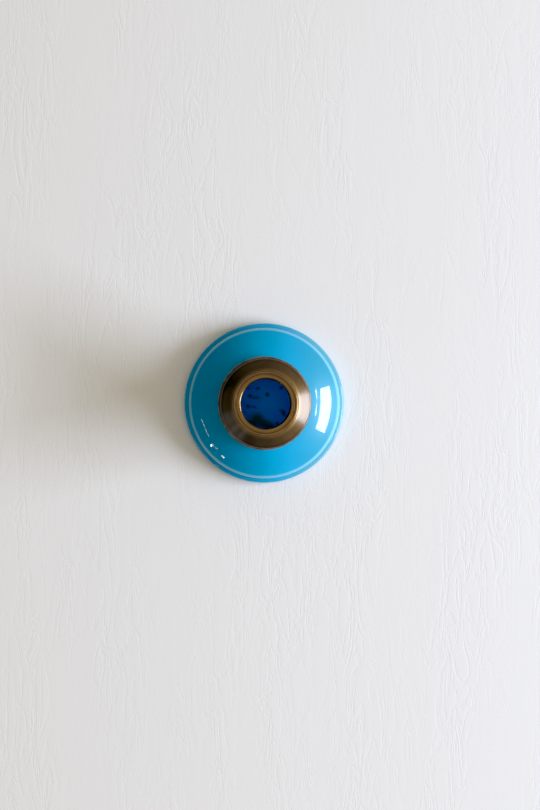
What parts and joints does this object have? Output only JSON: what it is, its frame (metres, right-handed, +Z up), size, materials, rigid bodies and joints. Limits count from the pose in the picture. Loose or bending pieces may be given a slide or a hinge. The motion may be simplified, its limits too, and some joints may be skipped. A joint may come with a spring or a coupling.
{
  "type": "glass insulator",
  "caption": "Low blue glass insulator with a tall bronze cap; a metal pin sits in the cap's round socket, and a threaded insert below fastens it to a post.",
  "frame": {"origin": "on the axis, in the plane that the glass rim stands on", "axes": "+Z up along the axis, out of the socket's mouth"},
  "size_m": [0.0882, 0.0882, 0.062],
  "materials": {
    "shell_glass": "glossy turquoise cased glass, opaque",
    "thimble_glass": "deep cobalt glass with dark specks",
    "cap_bronze": "dark brown bronze, turned and hand-worn",
    "bush_brass": "aged golden brass, turned",
    "cement": "grey neat Portland cement",
    "gasket_rubber": "black rubber",
    "cork": "pressed cork",
    "fibre": "red vulcanised fibre",
    "insert_iron": "galvanised malleable iron, dull"
  },
  "bodies": {
    "insulator": {"glass_shell": "shell_glass", "inner_thimble": "thimble_glass", "thimble_cement": "cement", "bronze_cap": "cap_bronze", "cap_cement": "cement", "seat_gasket": "gasket_rubber", "crown_gasket": "cork", "base_insert": "insert_iron", "base_cement": "cement"},
    "washer": {"bush_washer": "fibre"},
    "bush": {"socket_bush": "bush_brass"}
  },
  "joints": [
    {"name": "bush_lift", "type": "slide", "parent": "insulator", "child": "washer", "axis": [0, 0, 1], "range_m": [0, 0.008]},
    {"name": "bush_turn", "type": "hinge", "parent": "washer", "child": "bush", "pos_m": [0, 0, 0.06], "axis": [0, 0, 1], "range_deg": [0, 1440]}
  ],
  "couplings": [
    {"joint": "bush_lift", "follows": "bush_turn", "m_per_rad": 0.00031831}
  ]
}
